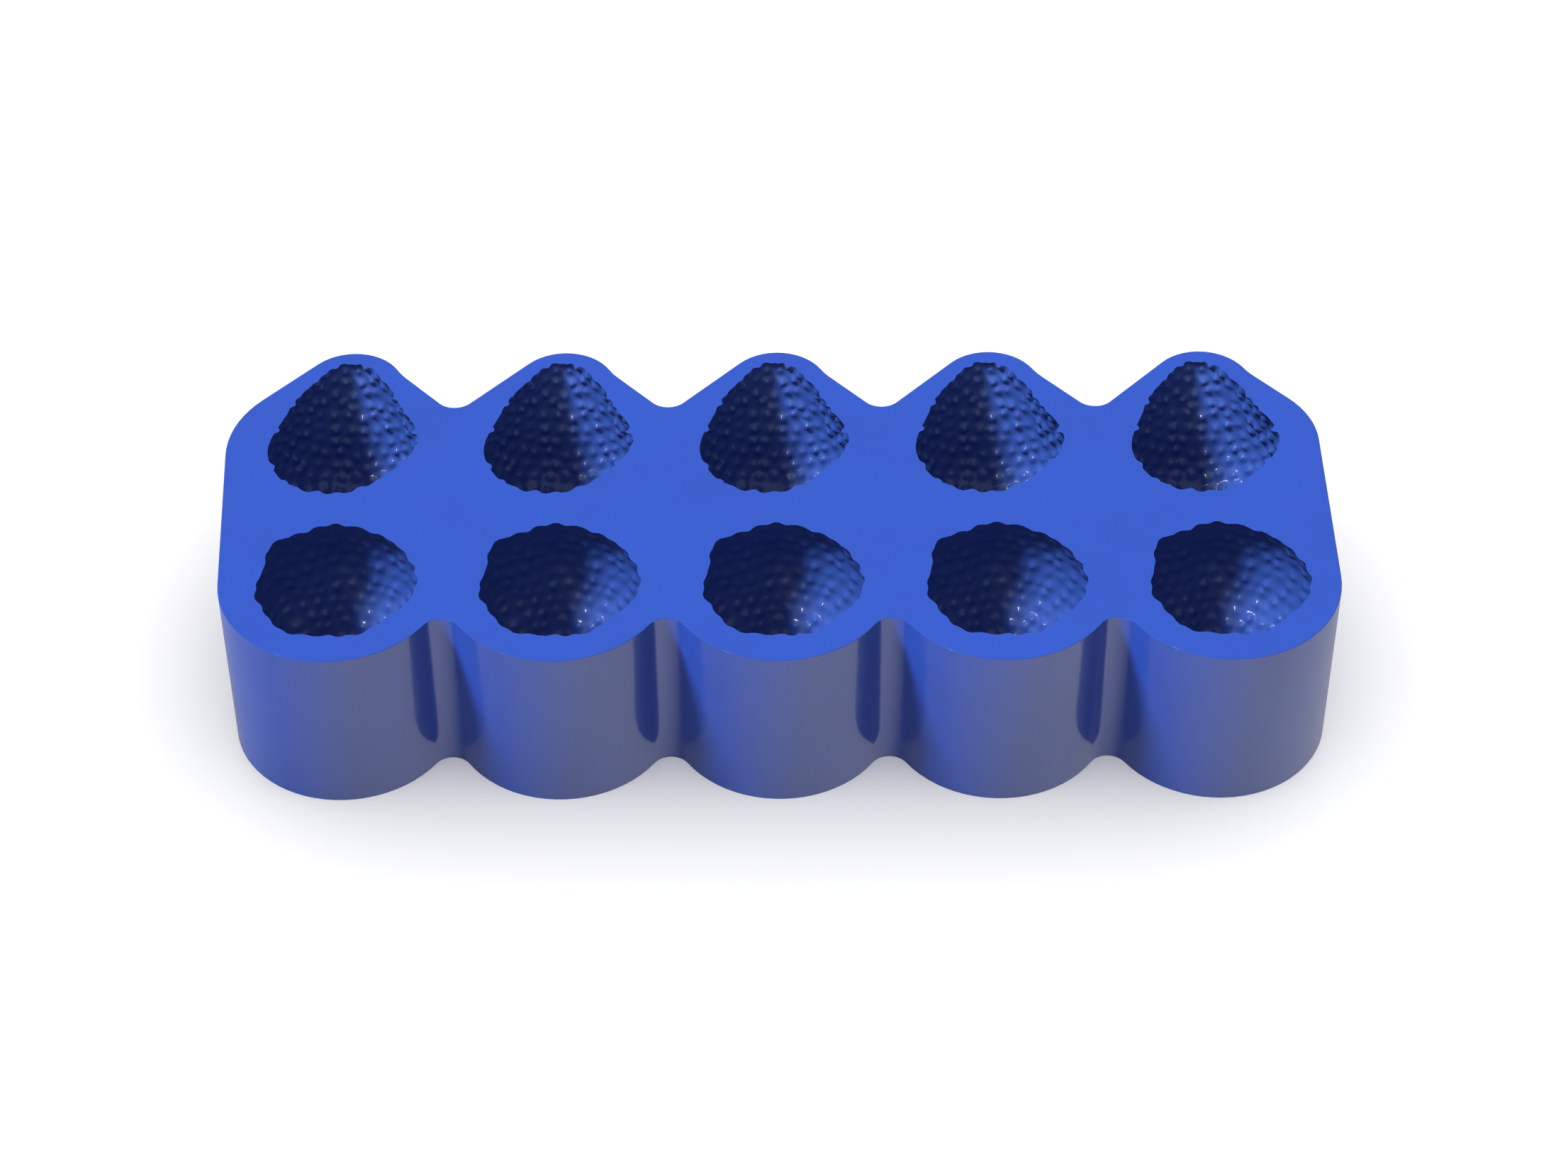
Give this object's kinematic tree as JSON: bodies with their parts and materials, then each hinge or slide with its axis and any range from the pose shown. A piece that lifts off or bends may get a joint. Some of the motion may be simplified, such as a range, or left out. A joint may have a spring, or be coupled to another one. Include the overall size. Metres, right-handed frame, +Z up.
{
  "type": "strawberry mould",
  "caption": "Cast silicone mould block with a front row of upright and a back row of lying whole-strawberry cavities, open on top.",
  "frame": {"origin": "middle of the flat base that the block rests on", "axes": "+X along the rows of cavities, +Y from the row of standing berries to the row of lying berries, +Z up, out of the cavities' mouths"},
  "size_m": [0.2132, 0.0857, 0.0379],
  "materials": {
    "silicone": "smooth semi-gloss blue silicone rubber"
  },
  "bodies": {
    "root": {"mould_block": "silicone"}
  },
  "joints": []
}
